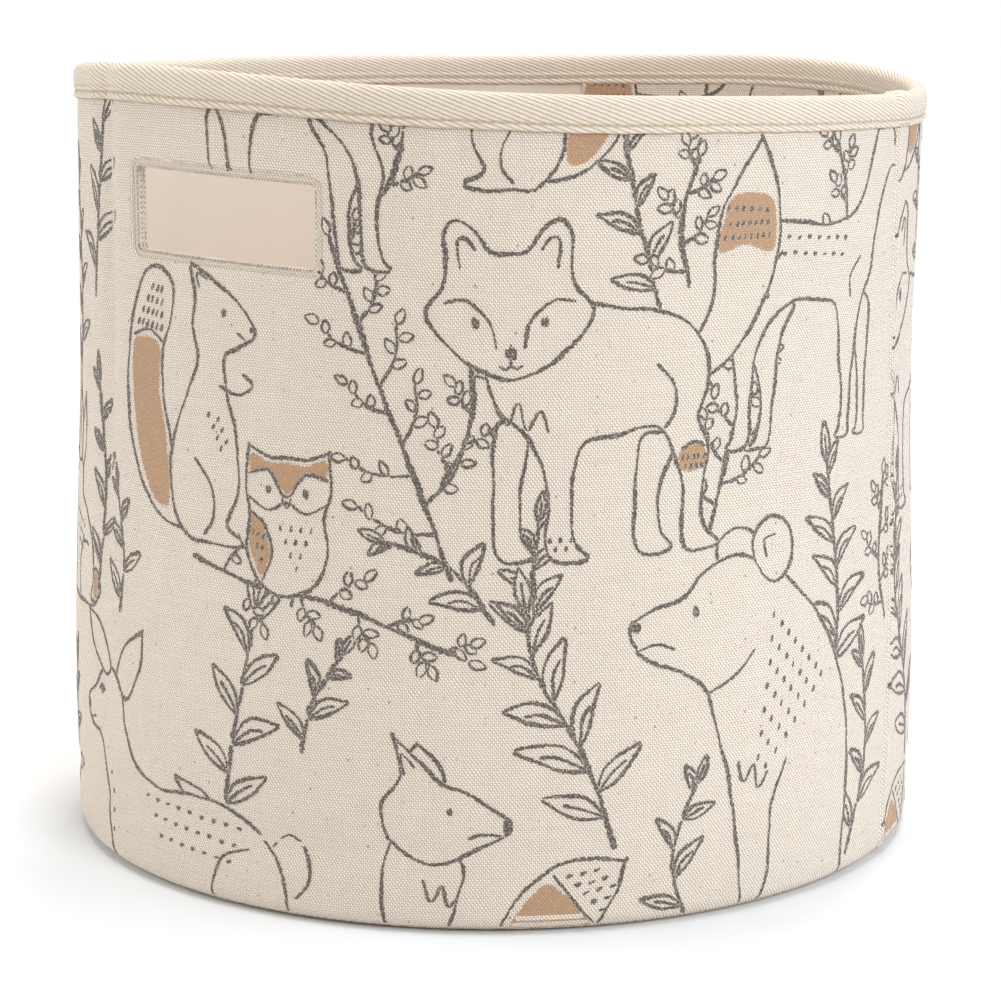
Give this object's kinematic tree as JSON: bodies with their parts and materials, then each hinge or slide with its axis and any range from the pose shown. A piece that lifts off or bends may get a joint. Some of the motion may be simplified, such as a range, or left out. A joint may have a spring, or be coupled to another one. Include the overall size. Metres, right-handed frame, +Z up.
{
  "type": "fabric storage bin",
  "caption": "Round stiffened canvas storage bin with a printed outer, plain lining, taped rim and two sewn hand-holes.",
  "frame": {"origin": "centre of the base, on the floor the bin stands on", "axes": "+Z up, out of the open top; the two hand-holes lie on -X and +X; the side seam is near -Y"},
  "size_m": [0.3108, 0.3108, 0.2795],
  "materials": {
    "printed_canvas": "natural flecked cotton duck with grey line print and tan fills",
    "stiffener": "pressed felt interlining and base board",
    "plain_lining": "plain woven cotton",
    "twill_tape": "ecru cotton twill tape",
    "sewing_thread": "matt cotton thread"
  },
  "bodies": {
    "root": {"outer_wall": "printed_canvas", "outer_base": "printed_canvas", "handle_facing_left": "printed_canvas", "handle_facing_right": "printed_canvas", "wall_interlining": "stiffener", "base_board": "stiffener", "wall_lining": "plain_lining", "base_lining": "plain_lining", "rim_binding": "twill_tape", "rim_stitching_outer": "sewing_thread", "rim_stitching_inner": "sewing_thread", "handle_stitching_left": "sewing_thread", "handle_stitching_right": "sewing_thread", "handle_inner_stitching_left": "sewing_thread", "handle_inner_stitching_right": "sewing_thread", "facing_stitching_left": "sewing_thread", "facing_stitching_right": "sewing_thread", "side_seam_stitching": "sewing_thread"}
  },
  "joints": []
}
